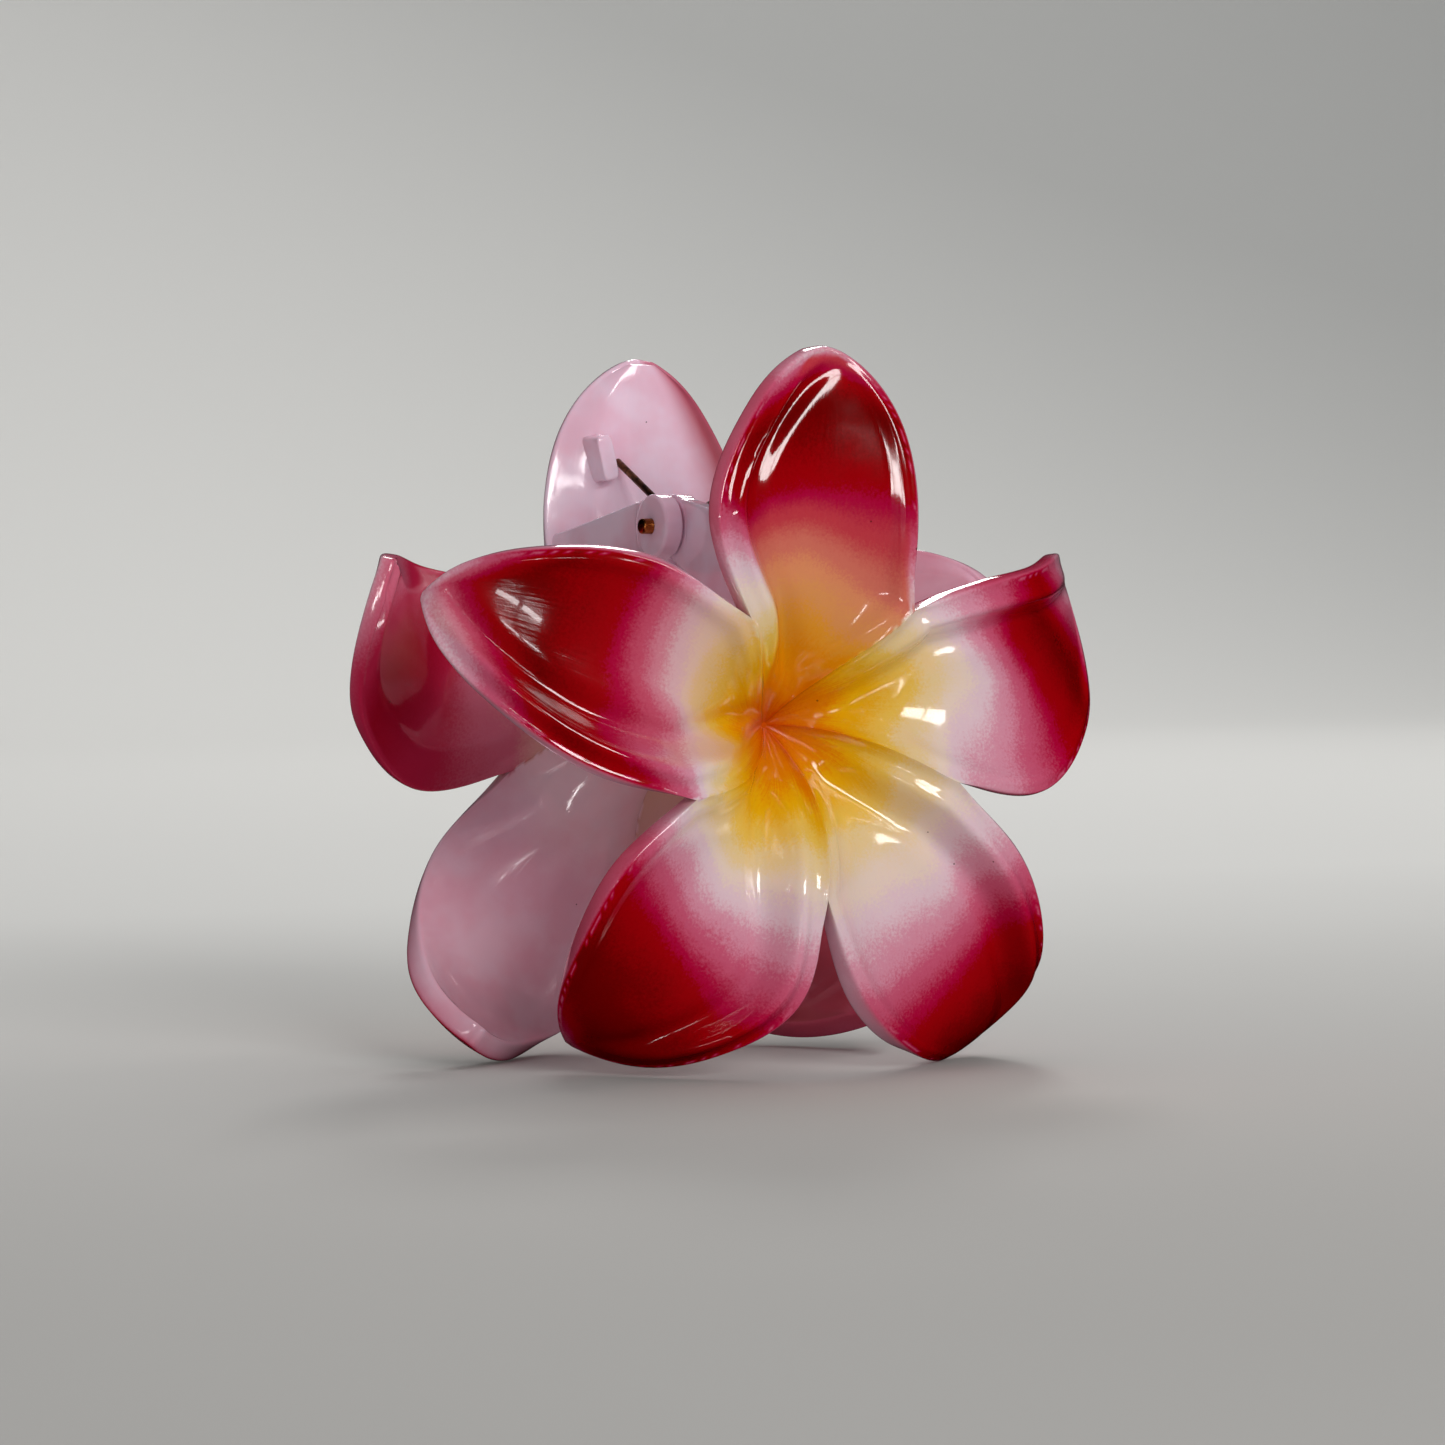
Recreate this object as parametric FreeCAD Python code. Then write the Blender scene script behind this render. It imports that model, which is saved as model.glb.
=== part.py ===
import FreeCAD, Part
import math
import os

# Plumeria claw clip for hair, in millimetres.
# Z is up, X runs along the hinge pin, and the front flower faces -Y.
# Two jaws are the same moulding, turned half a turn about Z: five petals, two hinge
# ears and a rib that keeps the spring leg in place. A pin and a torsion spring join them.

Vector = FreeCAD.Vector

# ---- driving dimensions ----------------------------------------------------------------
FLOWER_TILT = math.radians(5.5)   # the flower leans outwards towards its top
THROAT_DEPTH = 8.0                # from the middle plane of the clip to the flower's throat
THROAT_HEIGHT = 35.4              # from the ground to the throat
SHEET = 2.4                       # thickness of the moulded petals
FUNNEL_RADIUS = 16.0              # where neighbouring petals part, seen along the flower's axis
GROOVE_RISE = 14.0                # the grooves between petals climb this far out of the throat
DISH_RISE = 10.0                  # the middle of each petal climbs less, so it is a dish
FIRST_AXIS = 92.0                 # direction of the top petal in the flower's plane, degrees
PETAL_STEP = 72.0                 # from one petal to the next, degrees
SWIRL = math.radians(28.0)        # how far the grooves turn between the throat and the edge

BEAD_HEIGHT = 1.7                 # rolled bead along the leading side of each petal
BEAD_PLACE = 2.6                  # its crest, measured in from the edge
BEAD_WIDTH = 1.3
CREASE_DEPTH = 1.0                # crease between the bead and the dish
CREASE_PLACE = 5.4
CREASE_WIDTH = 1.4
RIM_HEIGHT = 0.6                  # small rim along the trailing side
RIM_PLACE = 1.2
RIM_WIDTH = 0.9
BEAD_FADE = 7.0                   # half-width of petal below which bead and rim fade away
BEAD_END = 0.95                   # share of the free part where bead and rim have died out
BEAD_END_LENGTH = 0.45            # share of the free part over which they die out

HINGE_RISE = 20.4                 # hinge axis above the throat
PIN_RADIUS = 0.80
PIN_LENGTH = 20.0
PIN_CHAMFER = 0.2
PIN_CLEARANCE = 0.05              # running fit of the pin in the front jaw
EAR_RADIUS = 3.3
EAR_THICKNESS = 2.1
EAR_OUTER_X = 7.7                 # middle of the outer ear of each jaw
EAR_INNER_X = 5.3                 # middle of the inner ear, on the other side
EAR_REACH = 30.0                  # long enough to pass right through the petals
EAR_TOP_SLOPE = math.radians(10.0)
EAR_BOTTOM_SLOPE = math.radians(24.0)

WIRE_RADIUS = 0.375
COIL_RADIUS = 2.35
COIL_HALF_LENGTH = 2.0            # from the middle of the coil to the middle of its last turn
COIL_FULL_TURNS = 5
LEG_ANGLE = math.radians(28.0)    # the legs climb this steeply from the coil
LEG_LENGTH = 19.5
RIB_SIZE = (1.8, 1.6, 4.8)        # width, height above the leg's middle line, and length
RIB_TILT = 14.0                   # degrees, its top away from the leg
RIB_ABOVE_LEG = 0.3               # middle of the rib above the leg's end
RIB_OFFSET = 2.90                 # middle of the rib, to the side of the end of the coil

# Petals in turn, anticlockwise from the top as seen from the front. Each has its length from
# the throat, its half-widths on the leading and trailing side and its heights above the throat
# along its middle and its edges, each at a quarter, a half and three quarters of the free part.
PETALS = (
    dict(name="top", length=38.9, lead=(12.8, 9.2, 3.8), trail=(10.0, 9.0, 5.5),
         tip_shift=-1.5, middle=(10.2, 9.6, 9.0), edge=(13.5, 11.8, 10.0), tip_height=9.0),
    dict(name="left", length=40.5, lead=(9.4, 6.6, 2.6), trail=(12.0, 10.4, 6.8),
         tip_shift=-2.2, middle=(9.0, 5.5, 1.0), edge=(12.0, 7.5, 2.0), tip_height=-2.0),
    dict(name="lower_left", length=38.2, lead=(13.3, 11.0, 7.4), trail=(12.0, 10.1, 5.6),
         tip_shift=2.2, middle=(11.0, 9.2, 4.8), edge=(14.0, 11.0, 5.0), tip_height=-3.0),
    dict(name="lower_right", length=42.4, lead=(10.9, 9.4, 7.4), trail=(12.0, 9.9, 5.4),
         tip_shift=0.9, middle=(11.3, 10.2, 6.6), edge=(14.0, 11.7, 5.6), tip_height=1.0),
    dict(name="right", length=39.0, lead=(8.4, 6.6, 5.6), trail=(14.5, 12.6, 8.0),
         tip_shift=4.0, middle=(10.0, 6.5, 2.0), edge=(12.5, 8.5, 3.0), tip_height=-1.0),
)

HALF_STEP = math.radians(PETAL_STEP / 2.0)
HINGE = Vector(0, 0, THROAT_HEIGHT + HINGE_RISE)

# ---- patch grids -------------------------------------------------------------------------
ACROSS = 16                       # spans of each patch across a petal
ALONG_FUNNEL = 7                  # spans from the throat to where the petals part
ALONG_FREE = 12                   # spans from there to the tip
FIRST_STATION = 0.07              # the throat is closed by a small disc
LAST_STATION = 0.985              # the tip is closed by a narrow edge
LAST_NORMAL = 0.88                # nearer the tip than this the sheet keeps one direction
TIP_TURN_START = 0.60             # from here to the tip its sides turn to face as its middle does


def smooth_step(x):
    """0 below 0, 1 above 1, smooth between."""
    x = min(max(x, 0.0), 1.0)
    return x * x * (3.0 - 2.0 * x)


def through_five(values, x):
    """Natural cubic spline through five values at 0, 1/4, 1/2, 3/4 and 1."""
    step = 0.25
    bends = [6.0 * (values[i - 1] - 2.0 * values[i] + values[i + 1]) / step ** 2 for i in (1, 2, 3)]
    middle = (4.0 * bends[1] - bends[0] - bends[2]) / 14.0
    curve = [0.0, (bends[0] - middle) / 4.0, middle, (bends[2] - middle) / 4.0, 0.0]
    i = min(int(x / step), 3)
    u = x / step - i
    straight = values[i] * (1.0 - u) + values[i + 1] * u
    left = ((1.0 - u) ** 3 - (1.0 - u)) * curve[i]
    right = (u ** 3 - u) * curve[i + 1]
    return straight + (left + right) * step ** 2 / 6.0


def bump(distance, place, width):
    return math.exp(-((distance - place) / width) ** 2)


def bead_profile(half_width, t):
    """Height of the bead, its crease and the rim; t runs from -1, trailing, to 1, leading."""
    lead = (1.0 - t) * half_width
    trail = (1.0 + t) * half_width
    height = BEAD_HEIGHT * bump(lead, BEAD_PLACE, BEAD_WIDTH)
    height -= CREASE_DEPTH * bump(lead, CREASE_PLACE, CREASE_WIDTH)
    height += RIM_HEIGHT * bump(trail, RIM_PLACE, RIM_WIDTH)
    return height * (1.0 - t ** 12) * smooth_step(half_width / BEAD_FADE)


def dish(edge, middle, t):
    return edge + (middle - edge) * (1.0 - t * t)


def funnel_point(s, t, bead):
    """Inner part of a petal, s from 0 at the throat to 1 where the petals part."""
    radius = FUNNEL_RADIUS * s
    angle = HALF_STEP * t + SWIRL * (1.0 - s) ** 1.5
    quarter = math.sin(s * math.pi / 2.0)
    height = dish(GROOVE_RISE * quarter, DISH_RISE * (0.75 * quarter + 0.25 * s), t)
    if bead:
        height += bead_profile(radius * math.sin(HALF_STEP), t)
    return Vector(radius * math.cos(angle), radius * math.sin(angle), height)


def free_point(petal, x, t, bead):
    """Free part of a petal, x from 0 where the petals part to 1 at the tip."""
    chord = FUNNEL_RADIUS * math.cos(HALF_STEP)
    half = FUNNEL_RADIUS * math.sin(HALF_STEP)
    shift = petal["tip_shift"]
    lead = through_five((half,) + petal["lead"] + (shift,), x)
    trail = through_five((half,) + petal["trail"] + (-shift,), x)
    along = chord + (petal["length"] - chord) * math.sin(x * math.pi / 2.0)
    arc_along = FUNNEL_RADIUS * math.cos(HALF_STEP * t) - chord
    arc_across = FUNNEL_RADIUS * math.sin(HALF_STEP * t) - half * t
    fade = (1.0 - x) ** 2
    half_width = (lead + trail) / 2.0
    across = (lead - trail) / 2.0 + half_width * t + arc_across * fade
    tip = petal["tip_height"]
    middle = through_five((DISH_RISE,) + petal["middle"] + (tip,), x)
    edge = through_five((GROOVE_RISE,) + petal["edge"] + (tip,), x)
    height = dish(edge, middle, t)
    if bead:
        height += bead_profile(half_width, t) * smooth_step((BEAD_END - x) / BEAD_END_LENGTH)
    return Vector(along + arc_along * fade, across, height)


def funnel_normal(point, s):
    """Outward direction of a plain round funnel, the same for all the petals."""
    slope = GROOVE_RISE * math.pi / 2.0 * math.cos(s * math.pi / 2.0) / FUNNEL_RADIUS
    radius = math.hypot(point.x, point.y)
    normal = Vector(-slope * point.x / radius, -slope * point.y / radius, 1.0)
    return normal.normalize()


def free_normal(petal, x, t):
    """Outward direction of the free part, turned from the funnel's as x grows."""
    step = 0.004
    side = 0.02
    place = min(x, LAST_NORMAL)
    here = free_point(petal, x, t, False)
    t = t * (1.0 - smooth_step((x - TIP_TURN_START) / (1.0 - TIP_TURN_START)))
    along = (free_point(petal, place + step, t, False)
             - free_point(petal, max(place - step, 0.0), t, False))
    across = free_point(petal, place, t + side, False) - free_point(petal, place, t - side, False)
    own = along.cross(across).normalize()
    funnel = funnel_normal(here, 1.0)
    share = smooth_step(x / 0.3)
    return (funnel * (1.0 - share) + own * share).normalize()


def funnel_pair(s, t):
    """Front and back points of the sheet in the funnel."""
    front = funnel_point(s, t, True)
    plain = funnel_point(s, t, False)
    if s <= FIRST_STATION:
        floor = funnel_point(s, 0.0, False).z
        front.z = floor
        plain.z = floor
    return front, plain - funnel_normal(plain, s) * SHEET


def free_pair(petal, x, t):
    front = free_point(petal, x, t, True)
    plain = free_point(petal, x, t, False)
    if x == 0.0:
        return funnel_pair(1.0, t)
    return front, plain - free_normal(petal, x, t) * SHEET


def flower_to_clip(point, axis):
    """From a petal's own frame to the clip's frame, for the front flower."""
    angle = math.radians(axis)
    u = point.x * math.cos(angle) - point.y * math.sin(angle)
    v = point.x * math.sin(angle) + point.y * math.cos(angle)
    y = -THROAT_DEPTH - v * math.sin(FLOWER_TILT) - point.z * math.cos(FLOWER_TILT)
    z = THROAT_HEIGHT + v * math.cos(FLOWER_TILT) - point.z * math.sin(FLOWER_TILT)
    return Vector(u, y, z)


def clamped_knots(count, degree):
    """Knots and multiplicities of an even, clamped spline with that many poles."""
    spans = count - degree
    knots = [float(i) / spans for i in range(spans + 1)]
    counts = [degree + 1] + [1] * (spans - 1) + [degree + 1]
    return knots, counts


def patch(poles):
    """Cubic surface shaped by a grid of poles."""
    surface = Part.BSplineSurface()
    u_knots, u_counts = clamped_knots(len(poles), 3)
    v_knots, v_counts = clamped_knots(len(poles[0]), 3)
    surface.buildFromPolesMultsKnots(poles, u_counts, v_counts, u_knots, v_knots,
                                     False, False, 3, 3)
    return surface.toShape()


def edge_curve(poles):
    curve = Part.BSplineCurve()
    knots, counts = clamped_knots(len(poles), 3)
    curve.buildFromPolesMultsKnots(poles, counts, knots, False, 3)
    return curve.toShape()


def strip(front, back):
    """Straight rim between the front and back edge of the sheet."""
    return Part.makeRuledSurface(edge_curve(front), edge_curve(back))


def petal_grids(number, petal):
    """Front and back pole grids of the funnel part and of the free part of one petal."""
    axis = FIRST_AXIS + PETAL_STEP * number
    sides = [-1.0 + 2.0 * j / ACROSS for j in range(ACROSS + 1)]
    span = (1.0 - FIRST_STATION) / ALONG_FUNNEL
    funnel_stations = [FIRST_STATION + span * i for i in range(ALONG_FUNNEL)] + [1.0]
    free_stations = [LAST_STATION * i / ALONG_FREE for i in range(ALONG_FREE + 1)]
    grids = []
    for pairs in ([[funnel_pair(s, t) for t in sides] for s in funnel_stations],
                  [[free_pair(petal, x, t) for t in sides] for x in free_stations]):
        for side in (0, 1):
            grids.append([[flower_to_clip(pair[side], axis) for pair in row] for row in pairs])
    return grids


def petals_solid():
    """All five petals of the front flower as one closed sheet of plastic."""
    faces = []
    throat_front = []
    throat_back = []
    for number, petal in enumerate(PETALS):
        funnel_front, funnel_back, free_front, free_back = petal_grids(number, petal)
        faces += [patch(grid) for grid in (funnel_front, funnel_back, free_front, free_back)]
        faces.append(strip([row[0] for row in free_front], [row[0] for row in free_back]))
        faces.append(strip([row[-1] for row in free_front], [row[-1] for row in free_back]))
        faces.append(strip(free_front[-1], free_back[-1]))
        throat_front.append(edge_curve(funnel_front[0]))
        throat_back.append(edge_curve(funnel_back[0]))
    for edges in (throat_front, throat_back):
        faces.append(Part.Face(Part.Wire(Part.sortEdges(edges)[0])))
    shell = Part.Compound(faces)
    shell.sewShape(0.01)
    solid = Part.Solid(shell.Shells[0] if shell.Shells else shell)
    if solid.Volume < 0:
        solid.reverse()
    return solid


def ear(middle_x, bore_radius, petals):
    """Hinge ear of the front jaw: round at the pin, a tapered plate that ends in the petals."""
    top = Vector(0, math.sin(EAR_TOP_SLOPE), math.cos(EAR_TOP_SLOPE)) * EAR_RADIUS
    bottom = Vector(0, math.sin(EAR_BOTTOM_SLOPE), -math.cos(EAR_BOTTOM_SLOPE)) * EAR_RADIUS
    far_top = top + Vector(0, -EAR_REACH, -EAR_REACH * math.tan(EAR_TOP_SLOPE))
    far_bottom = bottom + Vector(0, -EAR_REACH, -EAR_REACH * math.tan(EAR_BOTTOM_SLOPE))
    outline = [
        Part.Arc(bottom, Vector(0, EAR_RADIUS, 0), top).toShape(),
        Part.LineSegment(top, far_top).toShape(),
        Part.LineSegment(far_top, far_bottom).toShape(),
        Part.LineSegment(far_bottom, bottom).toShape(),
    ]
    plate = Part.Face(Part.Wire(outline)).extrude(Vector(EAR_THICKNESS, 0, 0))
    plate.translate(HINGE + Vector(middle_x - EAR_THICKNESS / 2.0, 0, 0))
    bore = Part.makeCylinder(bore_radius, EAR_THICKNESS + 2.0,
                             HINGE + Vector(middle_x - EAR_THICKNESS / 2.0 - 1.0, 0, 0),
                             Vector(1, 0, 0))
    return nearest_piece(plate.cut(petals), HINGE).cut(bore)


def nearest_piece(shape, place):
    """Of the solids that a cut leaves, the one whose middle is nearest to a place."""
    return min(shape.Solids, key=lambda solid: (solid.CenterOfMass - place).Length)


def leg_end():
    """End of the middle line of the front spring leg, in the plane of the coil."""
    start = Vector(0, -math.sin(LEG_ANGLE), -math.cos(LEG_ANGLE)) * COIL_RADIUS
    return HINGE + start + Vector(0, -math.cos(LEG_ANGLE), math.sin(LEG_ANGLE)) * LEG_LENGTH


def spring_rib(petals):
    """Small upright rib beside the end of the front spring leg."""
    width, rise, length = RIB_SIZE
    rib = Part.makeBox(width, rise + EAR_REACH, length,
                       Vector(-width / 2.0, -EAR_REACH, -length / 2.0))
    rib.rotate(Vector(0, 0, 0), Vector(0, 1, 0), RIB_TILT)
    end = leg_end()
    rib.translate(Vector(COIL_HALF_LENGTH + RIB_OFFSET, end.y + rise, end.z + RIB_ABOVE_LEG))
    return nearest_piece(rib.cut(petals), HINGE)


def front_jaw(bore_radius):
    petals = petals_solid()
    parts = [ear(EAR_OUTER_X, bore_radius, petals), ear(-EAR_INNER_X, bore_radius, petals),
             spring_rib(petals)]
    for piece in parts:
        petals = petals.fuse(piece)
    return petals.removeSplitter()


def back_jaw(bore_radius):
    jaw = front_jaw(bore_radius)
    jaw.rotate(Vector(0, 0, 0), Vector(0, 0, 1), 180)
    return jaw


def hinge_pin():
    pin = Part.makeCylinder(PIN_RADIUS, PIN_LENGTH, HINGE - Vector(PIN_LENGTH / 2.0, 0, 0),
                            Vector(1, 0, 0))
    ends = [edge for edge in pin.Edges if isinstance(edge.Curve, Part.Circle)]
    return pin.makeChamfer(PIN_CHAMFER, ends)


def torsion_spring():
    """Close-wound coil round the pin; a straight leg leaves it under the pin at each end."""
    sweep = COIL_FULL_TURNS + 2.0 * LEG_ANGLE / (2.0 * math.pi)
    length = 2.0 * COIL_HALF_LENGTH
    coil = Part.makeLongHelix(length / sweep, length, COIL_RADIUS, 0, True)
    axis = Vector(1, 0, 0)
    start = Vector(0, math.sin(LEG_ANGLE), -math.cos(LEG_ANGLE))
    turn = FreeCAD.Rotation(start, axis.cross(start), axis, "ZXY")
    coil.Placement = FreeCAD.Placement(HINGE - axis * COIL_HALF_LENGTH, turn)
    climb = length / sweep / (2.0 * math.pi * COIL_RADIUS)
    leg = Vector(climb, -math.cos(LEG_ANGLE), math.sin(LEG_ANGLE)).normalize() * LEG_LENGTH
    back_leg = Vector(-leg.x, -leg.y, leg.z)
    coil_start = HINGE - axis * COIL_HALF_LENGTH + start * COIL_RADIUS
    coil_end = HINGE + axis * COIL_HALF_LENGTH + Vector(0, -start.y, start.z) * COIL_RADIUS
    path = Part.Wire([Part.LineSegment(coil_start + back_leg, coil_start).toShape()]
                     + coil.Edges
                     + [Part.LineSegment(coil_end, coil_end + leg).toShape()])
    section = Part.Wire(Part.makeCircle(WIRE_RADIUS, coil_start + back_leg, back_leg))
    return path.makePipeShell([section], True, True)


def export(node, shape):
    print(node, shape.ShapeType, "solids", len(shape.Solids), "valid", shape.isValid(),
          "volume", round(shape.Volume, 1), shape.BoundBox)
    shape.exportStep("parts/" + node + ".step")


os.makedirs("parts", exist_ok=True)
front = front_jaw(PIN_RADIUS + PIN_CLEARANCE)
back = back_jaw(PIN_RADIUS)
spring = torsion_spring()
export("front_flower_jaw", front)
export("back_flower_jaw", back)
export("hinge_pin", hinge_pin())
export("torsion_spring", spring)
print("gap from the spring to the front jaw", round(spring.distToShape(front)[0], 3))
print("gap from the front jaw to the back jaw", round(front.distToShape(back)[0], 3))
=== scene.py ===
import math

import bmesh
import bpy
import numpy as np
from mathutils import Matrix, Vector
from mathutils.bvhtree import BVHTree
from mathutils.kdtree import KDTree


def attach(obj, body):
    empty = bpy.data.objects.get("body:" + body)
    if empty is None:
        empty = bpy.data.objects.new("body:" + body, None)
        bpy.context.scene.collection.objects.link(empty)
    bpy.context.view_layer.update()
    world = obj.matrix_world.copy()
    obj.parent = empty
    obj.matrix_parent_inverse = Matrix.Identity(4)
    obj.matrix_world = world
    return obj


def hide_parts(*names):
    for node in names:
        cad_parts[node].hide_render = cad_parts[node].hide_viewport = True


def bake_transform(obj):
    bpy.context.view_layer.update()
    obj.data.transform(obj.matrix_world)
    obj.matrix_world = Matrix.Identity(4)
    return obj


# Plumeria claw clip: two painted flower jaws on a brass pin, with a torsion spring between.
# Lengths are in millimetres until a mesh is made, and in metres from there on.

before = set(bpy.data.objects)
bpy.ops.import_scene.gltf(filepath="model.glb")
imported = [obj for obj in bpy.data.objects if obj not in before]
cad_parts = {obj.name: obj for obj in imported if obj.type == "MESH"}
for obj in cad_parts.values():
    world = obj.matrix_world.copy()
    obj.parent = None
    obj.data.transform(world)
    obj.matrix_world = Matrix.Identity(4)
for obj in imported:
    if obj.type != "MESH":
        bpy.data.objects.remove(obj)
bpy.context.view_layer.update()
MM = 0.001

# ---- shape of the moulded flower ---------------------------------------------------------
FLOWER_TILT = math.radians(5.5)   # the flower leans outwards towards its top
THROAT_DEPTH = 8.0                # from the middle of the clip forwards to the throat
THROAT_HEIGHT = 35.4
SHEET = 2.4                       # thickness of the moulding
FUNNEL_RADIUS = 16.0              # the petals are joined inside this radius
GROOVE_RISE = 14.0                # of the grooves between petals, from the throat to the radius
DISH_RISE = 10.0                  # of the petals' middles over the same length
DISH_ROUNDNESS = 0.75             # share of that rise that follows a sine, the rest is straight
FIRST_AXIS = 92.0
PETAL_STEP = 72.0
HALF_STEP = math.radians(PETAL_STEP / 2.0)
SWIRL = math.radians(28.0)        # how far the petals twist round the throat
PART_ALONG = FUNNEL_RADIUS * math.cos(HALF_STEP)
PART_HALF_WIDTH = FUNNEL_RADIUS * math.sin(HALF_STEP)

BEAD_HEIGHT = 1.7                 # rolled bead near the leading edge
BEAD_PLACE = 2.6
BEAD_WIDTH = 1.3
CREASE_DEPTH = 1.0                # valley beside the bead
CREASE_PLACE = 5.4
CREASE_WIDTH = 1.4
RIM_HEIGHT = 0.6                  # low rim near the trailing edge
RIM_PLACE = 1.2
RIM_WIDTH = 0.9
BEAD_FADE = 7.0                   # narrower than this the bead gets lower
BEAD_END = 0.95                   # where along the free part the bead has run out
BEAD_END_LENGTH = 0.45

EDGE_BULGE = 0.45                 # how far the rounded edge stands out of the sheet
EDGE_BULGE_START = 0.10           # part of the free length over which it starts
EDGE_SQUARENESS = 0.6             # 1 would be a half round edge, 0 a square one
EDGE_STEPS = 10
FUNNEL_EDGE_DISTANCE = 9.0        # stands for far from any edge
EDGE_THIN_FROM = 0.55             # share of the half width beyond which the sheet gets thinner

FIRST_STATION = 0.02              # the throat is closed by a small disc
LAST_STATION = 0.97               # the tip is closed by the edge
LAST_NORMAL = 0.88                # nearer the tip than this the sheet keeps one direction
TIP_TURN_START = 0.60             # from here to the tip its sides turn to face as its middle does
TIP_THIN_START = 0.78             # from here to the tip it is thinner all the way across
ACROSS = 60
ALONG_FUNNEL = 30
ALONG_FREE = 56

# ---- hinge, ears, rib and spring ---------------------------------------------------------
HINGE = np.array([0.0, 0.0, THROAT_HEIGHT + 20.4])
PIN_RADIUS = 0.80
PIN_LENGTH = 20.0
PIN_DOME = ((0.0, 0.50), (0.03, 0.62), (0.10, 0.74), (0.22, PIN_RADIUS))  # depth and radius
PIN_FLUTES = ((0.35, 0), (0.45, 1), (1.05, 1), (1.15, 0))  # depth and share of the full groove
PIN_LAST_STATION = 3.0            # the pin is plain from here to as far from its other end
FLUTES = 16
FLUTE_DEPTH = 0.035
BORE_RADIUS = 0.83
EAR_RADIUS = 3.3
EAR_THICKNESS = 2.1
EAR_PLACES = (7.7, -5.3)
EAR_TOP_SLOPE = math.radians(10.0)
EAR_BOTTOM_SLOPE = math.radians(24.0)
EAR_SETBACK = 0.06                # how far the plate's faces are behind the round end's
EAR_SQUARENESS = 0.22             # of the plate's section: 1 would be round, 0 square
EAR_FLARE = 0.55                  # how much each face of the plate swells where it meets a petal
EAR_FLARE_START = 0.74            # share of the way to the petals
ROOT_DEPTH = 1.2                  # how deep ears and rib sit in the petals
BORE_REACH = 12.0                 # half the length of the tool that bores the ears
WIRE_RADIUS = 0.375
COIL_RADIUS = 2.35
COIL_HALF_LENGTH = 2.0
COIL_FULL_TURNS = 5
LEG_ANGLE = math.radians(28.0)
LEG_LENGTH = 19.5
WIRE_TAPER = ((0.0, 0.70), (0.04, 0.90), (0.12, 1.0))  # distance from an end, share of radius
RIB_SIZE = (1.8, 1.6, 4.8)        # width, rise and length
RIB_TILT = math.radians(14.0)     # its top away from the leg
RIB_ABOVE_LEG = 0.3
RIB_OFFSET = 2.90                 # from the end of the coil
RIB_SQUARENESS = 0.35             # seen from the top, as for the ears
RIB_TOP = ((0.0, 0.86), (0.06, 0.95), (0.16, 0.99), (0.30, 1.0))  # depth and share of the size
RIB_ROOT = ((0.6, 0.0), (0.95, 0.12), (1.0, 0.3))  # share of the way down and added half size

# Where the paint changes is given at six places across a petal, from its trailing edge to its
# leading edge, and along it as 0 at the throat, 1 where the petals part and 2 at the tip.
PAINT_PLACES = (-0.9, -0.5, 0.0, 0.35, 0.65, 0.9)
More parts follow.
